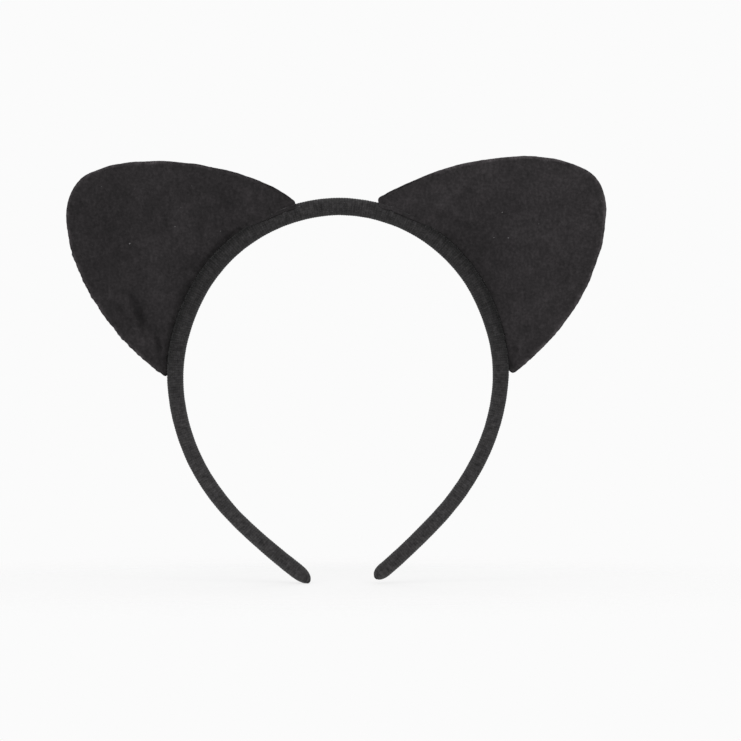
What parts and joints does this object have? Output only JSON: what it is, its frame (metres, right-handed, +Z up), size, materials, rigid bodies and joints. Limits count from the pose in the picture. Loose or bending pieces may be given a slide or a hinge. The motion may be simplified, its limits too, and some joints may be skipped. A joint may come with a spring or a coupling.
{
  "type": "animal ears headband",
  "caption": "Springy padded headband in a knitted sleeve, with soft pointed cat ears standing on it; the legs spread over the head and the ears bend forward and back.",
  "frame": {"origin": "middle of the inside of the crown, where the band rests on the head", "axes": "+Z up through the crown, +X to the right as seen from the front, and the front faces -Y"},
  "size_m": [0.2088, 0.009, 0.1647],
  "materials": {
    "core": "satin",
    "padding": "matte",
    "knit": "matte",
    "suede": "matte",
    "foam": "matte",
    "thread": "matte"
  },
  "bodies": {
    "crown": {"crown_core": "core", "crown_padding": "padding", "crown_sleeve": "knit"},
    "left_shoulder": {"left_shoulder_core": "core", "left_shoulder_padding": "padding", "left_shoulder_sleeve": "knit", "left_ear_base_stitches": "thread"},
    "left_leg": {"left_leg_core": "core", "left_leg_padding": "padding", "left_leg_sleeve": "knit", "left_tip_stitches": "thread"},
    "left_ear": {"left_ear_front_panel": "suede", "left_ear_back_panel": "suede", "left_ear_foam": "foam", "left_ear_edge_seam": "thread"},
    "right_shoulder": {"right_shoulder_core": "core", "right_shoulder_padding": "padding", "right_shoulder_sleeve": "knit", "right_ear_base_stitches": "thread"},
    "right_leg": {"right_leg_core": "core", "right_leg_padding": "padding", "right_leg_sleeve": "knit", "right_tip_stitches": "thread"},
    "right_ear": {"right_ear_front_panel": "suede", "right_ear_back_panel": "suede", "right_ear_foam": "foam", "right_ear_edge_seam": "thread"}
  },
  "joints": [
    {"name": "left_shoulder_flex", "type": "hinge", "parent": "crown", "child": "left_shoulder", "pos_m": [-0.01494, 0, 0.00476], "axis": [0, 1, 0], "range_deg": [-3, 12], "stiffness_Nm_per_rad": 2},
    {"name": "left_leg_flex", "type": "hinge", "parent": "left_shoulder", "child": "left_leg", "pos_m": [-0.06631, 0, -0.06341], "axis": [0, 1, 0], "range_deg": [-3.45, 13.8], "stiffness_Nm_per_rad": 1},
    {"name": "left_ear_bend", "type": "hinge", "parent": "left_shoulder", "child": "left_ear", "pos_m": [-0.05714, 0, -0.01797], "axis": [0.592, 0, 0.8059], "range_deg": [-30, 30], "stiffness_Nm_per_rad": 0.05},
    {"name": "right_shoulder_flex", "type": "hinge", "parent": "crown", "child": "right_shoulder", "pos_m": [0.01494, 0, 0.00476], "axis": [0, -1, 0], "range_deg": [-3, 12], "stiffness_Nm_per_rad": 2},
    {"name": "right_leg_flex", "type": "hinge", "parent": "right_shoulder", "child": "right_leg", "pos_m": [0.06631, 0, -0.06341], "axis": [0, -1, 0], "range_deg": [-3.45, 13.8], "stiffness_Nm_per_rad": 1},
    {"name": "right_ear_bend", "type": "hinge", "parent": "right_shoulder", "child": "right_ear", "pos_m": [0.05714, 0, -0.01797], "axis": [0.592, 0, -0.8059], "range_deg": [-30, 30], "stiffness_Nm_per_rad": 0.05}
  ],
  "couplings": [
    {"joint": "left_leg_flex", "follows": "left_shoulder_flex", "ratio": 1.15},
    {"joint": "right_leg_flex", "follows": "right_shoulder_flex", "ratio": 1.15}
  ]
}
